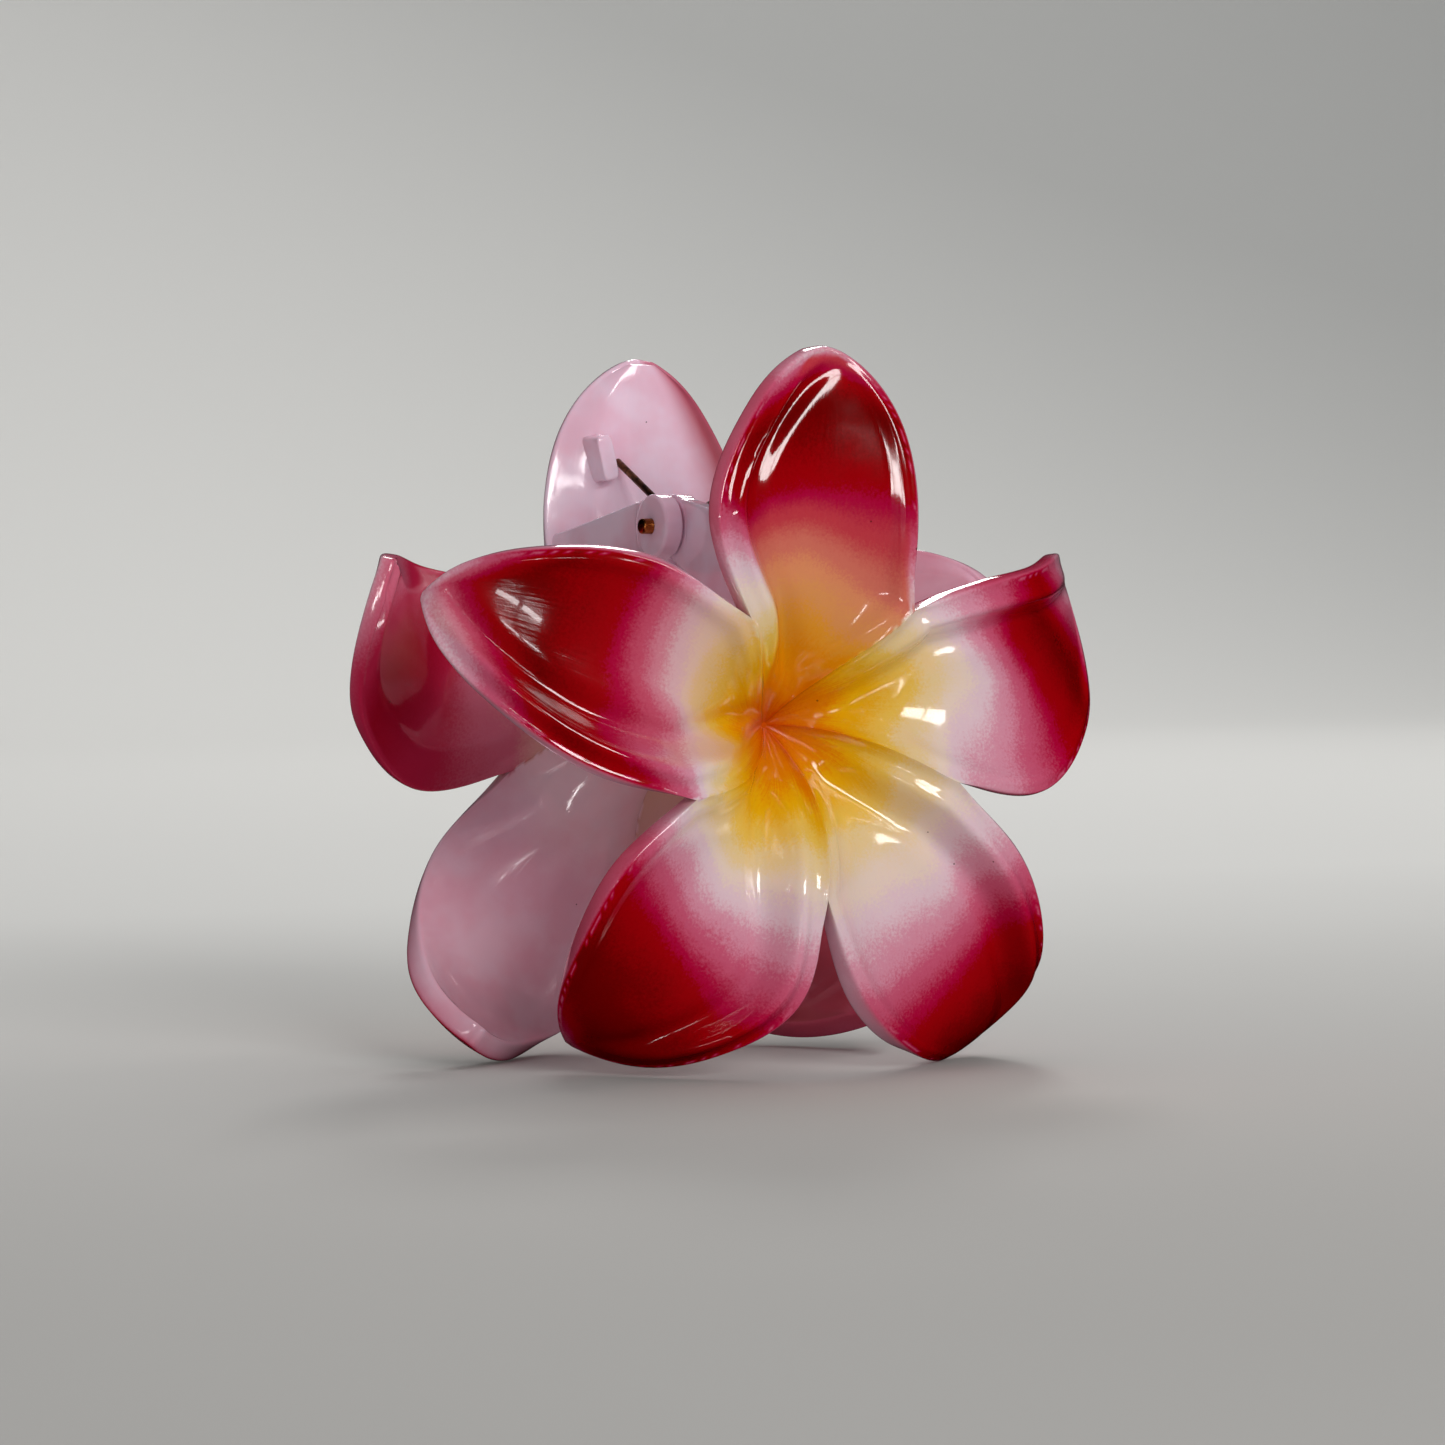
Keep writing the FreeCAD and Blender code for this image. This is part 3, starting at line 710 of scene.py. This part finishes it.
def linear(r, g, b):
    """Linear colour from the 0 to 255 values of a screen colour."""
    def one(value):
        value = value / 255.0
        return value / 12.92 if value <= 0.04045 else ((value + 0.055) / 1.055) ** 2.4
    return (one(r), one(g), one(b), 1.0)


def seen(r, g, b):
    """Linear colour of a paint that shows as about this screen colour on the front jaw."""
    shown = linear(r, g, b)
    return tuple(min(part / share, 1.0) for part, share in zip(shown, LIGHT_SHARE)) + (1.0,)


class Nodes:
    """Short way to add and link the nodes of one material."""

    def __init__(self, name):
        self.material = bpy.data.materials.new(name)
        self.material.use_nodes = True
        self.tree = self.material.node_tree
        self.shader = self.tree.nodes["Principled BSDF"]

    def put(self, socket, value):
        if isinstance(value, bpy.types.NodeSocket):
            self.tree.links.new(value, socket)
        else:
            socket.default_value = value

    def add(self, kind, inputs, output=0, **settings):
        node = self.tree.nodes.new(kind)
        for key, value in settings.items():
            setattr(node, key, value)
        for key, value in inputs.items():
            self.put(node.inputs[key], value)
        return node.outputs[output]

    def math(self, operation, a, b=0.0, clamp=False):
        return self.add("ShaderNodeMath", {0: a, 1: b}, operation=operation, use_clamp=clamp)

    def spread(self, value, low, high, to_low=0.0, to_high=1.0):
        return self.add("ShaderNodeMapRange",
                        {"Value": value, "From Min": low, "From Max": high,
                         "To Min": to_low, "To Max": to_high}, interpolation_type="SMOOTHSTEP")

    def attribute(self, name):
        return self.add("ShaderNodeAttribute", {}, output="Fac", attribute_name=name)

    def mix(self, factor, a, b):
        node = self.tree.nodes.new("ShaderNodeMix")
        node.data_type = "RGBA"
        self.put(node.inputs[0], factor)
        self.put(node.inputs[6], a)
        self.put(node.inputs[7], b)
        return node.outputs[2]

    def noise(self, vector, scale, detail=2.0, roughness=0.5):
        return self.add("ShaderNodeTexNoise",
                        {"Vector": vector, "Scale": scale, "Detail": detail,
                         "Roughness": roughness})

    def ramp(self, value, stops):
        node = self.tree.nodes.new("ShaderNodeValToRGB")
        node.color_ramp.interpolation = "EASE"
        elements = node.color_ramp.elements
        elements[0].position, elements[0].color = stops[0]
        elements[1].position, elements[1].color = stops[-1]
        for position, colour in stops[1:-1]:
            elements.new(position).color = colour
        self.put(node.inputs["Fac"], value)
        return node.outputs["Color"]


def petal_material():
    n = Nodes("painted_petal_plastic")
    place = n.add("ShaderNodeTexCoord", {}, output="Object")
    tone = n.attribute("tone")
    along = n.attribute("along")
    across = n.attribute("across")
    inside = n.attribute("inside")
    painted_glow_and_overspray = n.attribute("painted_glow_and_overspray")
    peach = n.attribute("peach")

    # Grain, clouds and, near the throat, fibres move each spot a little along the paint ramp.
    grain = n.noise(place, 3600.0, 2.0, 0.6)
    cloud = n.noise(place, 130.0, 3.0, 0.55)
    fibre_place = n.add("ShaderNodeCombineXYZ", {"X": n.math("MULTIPLY", along, 1.2),
                                                 "Y": n.math("MULTIPLY", across, 1.1)})
    fibre = n.noise(fibre_place, 2.2, 3.0, 0.6)
    shift = n.math("MULTIPLY", n.math("SUBTRACT", grain, 0.5), 0.10)
    shift = n.math("ADD", shift, n.math("MULTIPLY", n.math("SUBTRACT", cloud, 0.5), 0.10))
    near_throat = n.spread(tone, 0.42, 0.10)
    fibres = n.math("MULTIPLY", n.math("SUBTRACT", fibre, 0.5),
                    n.math("MULTIPLY", near_throat, 0.2))
    shift = n.math("ADD", shift, fibres)
    sprayed = n.math("ADD", tone, shift, clamp=True)

    # The painted side, with a warmer paint where a petal has peach.
    orange = seen(180, 62, 0)
    magenta = seen(155, 4, 48)
    red = seen(142, 0, 6)
    deep = seen(100, 0, 0)
    outside = n.ramp(sprayed, [(0.0, orange), (0.12, seen(197, 106, 0)), (0.24, seen(205, 148, 6)),
                               (0.33, seen(207, 163, 70)), (0.40, seen(206, 173, 128)),
                               (0.50, seen(206, 178, 165)), (0.56, seen(200, 166, 174)),
                               (0.64, seen(190, 120, 138)), (0.72, seen(176, 72, 98)),
                               (0.83, magenta), (0.88, red), (1.0, deep)])
    warm = n.ramp(sprayed, [(0.0, orange), (0.12, seen(197, 104, 0)), (0.24, seen(203, 122, 4)),
                            (0.32, seen(202, 131, 38)), (0.39, seen(198, 128, 75)),
                            (0.45, seen(196, 120, 82)), (0.54, seen(186, 95, 80)),
                            (0.70, seen(171, 48, 58)), (0.83, magenta), (0.88, red), (1.0, deep)])
    outside = n.mix(peach, outside, warm)

    # The inner side is milky plastic. Its red is partly paint oversprayed onto it and partly a
    # painted glow: the colour of light shining through the red sheet.
    milk = n.mix(n.spread(cloud, 0.35, 0.65), linear(250, 224, 242), linear(246, 202, 222))
    through = n.ramp(sprayed, [(0.0, linear(214, 160, 130)), (0.40, linear(220, 164, 156)),
                               (0.58, linear(208, 104, 130)), (0.74, linear(188, 34, 72)),
                               (1.0, linear(170, 6, 40))])
    lining = n.mix(painted_glow_and_overspray, milk, through)
    colour = n.mix(n.spread(inside, 0.15, 0.75), outside, lining)

    # A few dark specks.
    cells = n.add("ShaderNodeTexVoronoi", {"Vector": place, "Scale": 260.0, "Randomness": 1.0},
                  output="Distance")
    speck = n.math("LESS_THAN", cells, 0.030)
    rare = n.math("GREATER_THAN", n.noise(place, 420.0, 0.0), 0.60)
    speck = n.math("MULTIPLY", speck, rare)
    colour = n.mix(n.math("MULTIPLY", speck, 0.75), colour, linear(70, 26, 16))

    n.put(n.shader.inputs["Base Color"], colour)
    n.put(n.shader.inputs["Roughness"], n.spread(cloud, 0.3, 0.7, 0.07, 0.14))
    n.put(n.shader.inputs["IOR"], 1.5)
    n.put(n.shader.inputs["Subsurface Weight"], 0.18)
    n.put(n.shader.inputs["Subsurface Radius"], (1.0, 0.45, 0.4))
    n.put(n.shader.inputs["Subsurface Scale"], 0.0016)
    n.put(n.shader.inputs["Specular IOR Level"], 0.5)
    n.put(n.shader.inputs["Coat Weight"], 0.6)
    n.put(n.shader.inputs["Coat Roughness"], 0.03)
    wave = n.noise(place, 210.0, 1.0)
    height = n.math("ADD", n.math("MULTIPLY", wave, 1.0), n.math("MULTIPLY", fibre, 0.25))
    bumped = n.add("ShaderNodeBump", {"Strength": 0.10, "Distance": 0.0006, "Height": height})
    n.put(n.shader.inputs["Normal"], bumped)
    return n.material


def metal_material(name, light, dark, roughness, scale, stretch):
    n = Nodes(name)
    place = n.add("ShaderNodeTexCoord", {}, output="Object")
    lines = n.add("ShaderNodeVectorMath", {0: place, 1: stretch}, operation="MULTIPLY")
    brushed = n.noise(lines, scale, 3.0, 0.65)
    stain = n.noise(place, 900.0, 2.0)
    colour = n.mix(n.spread(stain, 0.35, 0.7), light, dark)
    n.put(n.shader.inputs["Base Color"], colour)
    n.put(n.shader.inputs["Metallic"], 1.0)
    n.put(n.shader.inputs["Roughness"], n.spread(brushed, 0.3, 0.7, roughness, roughness + 0.2))
    bumped = n.add("ShaderNodeBump", {"Strength": 0.25, "Distance": 0.00002, "Height": brushed})
    n.put(n.shader.inputs["Normal"], bumped)
    return n.material


def floor_material():
    n = Nodes("pale_floor")
    place = n.add("ShaderNodeTexCoord", {}, output="Object")
    # Painted shade and light: the floor is painted darker towards the front and lighter towards the
    # back. The clouds are random tone.
    depth = n.add("ShaderNodeSeparateXYZ", {"Vector": place}, output="Y")
    cloud = n.math("MULTIPLY", n.noise(place, 6.0, 2.0), 0.12)
    back = n.math("ADD", n.spread(depth, -0.20, 0.30), cloud, clamp=True)
    colour = n.mix(back, linear(176, 175, 172), linear(228, 228, 225))
    n.put(n.shader.inputs["Base Color"], colour)
    n.put(n.shader.inputs["Roughness"], 0.85)
    n.put(n.shader.inputs["Specular IOR Level"], 0.2)
    return n.material


# ---- pieces ------------------------------------------------------------------------------
petal_plastic = petal_material()
brass = metal_material("pin_brass", linear(196, 128, 66), linear(140, 78, 34), 0.22, 60.0,
                       (4.0, 60.0, 60.0))
wire = metal_material("spring_wire_steel", linear(120, 86, 52), linear(60, 40, 26), 0.28, 60.0,
                      (30.0, 30.0, 30.0))

front_jaw = build_jaw()
front_jaw.data.materials.clear()
front_jaw.data.materials.append(petal_plastic)
finish_shading(front_jaw.data, PETAL_EDGE_ANGLE)
back_jaw = front_jaw.copy()
back_jaw.data = front_jaw.data.copy()
back_jaw.data.transform(Matrix.Rotation(math.pi, 4, "Z"))
back_jaw.name = "back_petals_and_ears"
back_jaw.data.name = "back_petals_and_ears"
bpy.context.scene.collection.objects.link(back_jaw)

pin = build_pin()
weld(pin)
pin.data.materials.append(brass)
finish_shading(pin.data, METAL_EDGE_ANGLE)

spring = build_spring()
weld(spring)
spring.data.materials.append(wire)
finish_shading(spring.data, METAL_EDGE_ANGLE)

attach(front_jaw, "front_jaw")
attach(back_jaw, "back_jaw")
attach(pin, "back_jaw")
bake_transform(spring)
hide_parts("front_flower_jaw")
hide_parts("back_flower_jaw")
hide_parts("hinge_pin")
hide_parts("torsion_spring")


# ---- stage, light and camera -------------------------------------------------------------
def build_floor():
    """Floor that turns up into a backdrop far behind the clip."""
    front, middle, back, height = -4.0, 0.4, 0.8, 1.8
    bend = 0.6
    steps = 24
    half_width = 4.0
    section = [(front, 0.0), (-middle, 0.0), (middle, 0.0), (back, 0.0)]
    for k in range(1, steps + 1):
        angle = math.pi / 2.0 * k / steps
        section.append((back + bend * math.sin(angle), bend * (1.0 - math.cos(angle))))
    section.append((back + bend, height))
    points = []
    faces = []
    for i, (y, z) in enumerate(section):
        points += [(-half_width, y, z), (half_width, y, z)]
        if i:
            faces.append([2 * i - 2, 2 * i - 1, 2 * i + 1, 2 * i])
    floor = make_object("pale_floor", np.array(points) / MM, faces)
    floor.data.materials.append(floor_material())
    finish_shading(floor.data, FLOOR_EDGE_ANGLE)
    floor.visible_glossy = False


def area_light(name, place, target, size, power, colour, mirrored=True):
    light = bpy.data.lights.new(name, "AREA")
    light.shape = "RECTANGLE"
    light.size, light.size_y = size
    light.energy = power
    light.color = colour
    obj = bpy.data.objects.new(name, light)
    obj.location = place
    obj.rotation_euler = (Vector(target) - Vector(place)).to_track_quat("-Z", "Y").to_euler()
    obj.visible_camera = False
    obj.visible_glossy = mirrored
    bpy.context.scene.collection.objects.link(obj)


build_floor()
CENTRE = (0.0, 0.0, 0.036)
PANE = (0.27, 0.34)
LOW_PANE = (0.18, 0.035)
KEY_SIZE = (1.1, 1.1)
DAYLIGHT = (1.0, 0.98, 0.97)
SKY = (0.80, 0.82, 0.84, 1.0)
SKY_STRENGTH = 0.32
area_light("window_pane_left", (-0.150, -1.04, 0.40), CENTRE, PANE, 3.2, DAYLIGHT)
area_light("window_pane_right", (0.150, -1.04, 0.40), CENTRE, PANE, 3.2, DAYLIGHT)
area_light("low_pane_left", (-0.80, -0.74, 0.05), CENTRE, LOW_PANE, 0.32, DAYLIGHT)
area_light("low_pane_right", (-0.64, -0.89, 0.05), CENTRE, LOW_PANE, 0.32, DAYLIGHT)
area_light("window_behind", (0.50, 0.85, 0.85), CENTRE, PANE, 3.4, DAYLIGHT)
area_light("key_soft", (0.55, 0.25, 1.25), CENTRE, KEY_SIZE, 5.4, DAYLIGHT, mirrored=False)

bpy.context.scene.view_settings.view_transform = "Standard"
world = bpy.data.worlds.new("soft_daylight")
bpy.context.scene.world = world
world.use_nodes = True
background = world.node_tree.nodes["Background"]
background.inputs["Color"].default_value = SKY
background.inputs["Strength"].default_value = SKY_STRENGTH
world.cycles_visibility.glossy = False

CAMERA_TURN = math.radians(29.0)
CAMERA_RISE = math.radians(2.0)
CAMERA_DISTANCE = 0.5
SENSOR = 36.0
VIEW_WIDTH = 0.1505               # width of the picture at the clip
AIM_SHIFT = 0.00026               # how far left of the middle of the clip the camera aims
camera_data = bpy.data.cameras.new("camera")
camera_data.sensor_width = SENSOR
camera_data.lens = SENSOR * CAMERA_DISTANCE / VIEW_WIDTH
camera_data.clip_start = 0.01
camera = bpy.data.objects.new("camera", camera_data)
bpy.context.scene.collection.objects.link(camera)
aim = Vector((-AIM_SHIFT * math.cos(CAMERA_TURN), AIM_SHIFT * math.sin(CAMERA_TURN),
              THROAT_HEIGHT * MM))
towards_camera = Vector((-math.sin(CAMERA_TURN) * math.cos(CAMERA_RISE),
                         -math.cos(CAMERA_TURN) * math.cos(CAMERA_RISE), math.sin(CAMERA_RISE)))
camera.location = aim + towards_camera * CAMERA_DISTANCE
camera.rotation_euler = (-towards_camera).to_track_quat("-Z", "Y").to_euler()
bpy.context.scene.camera = camera
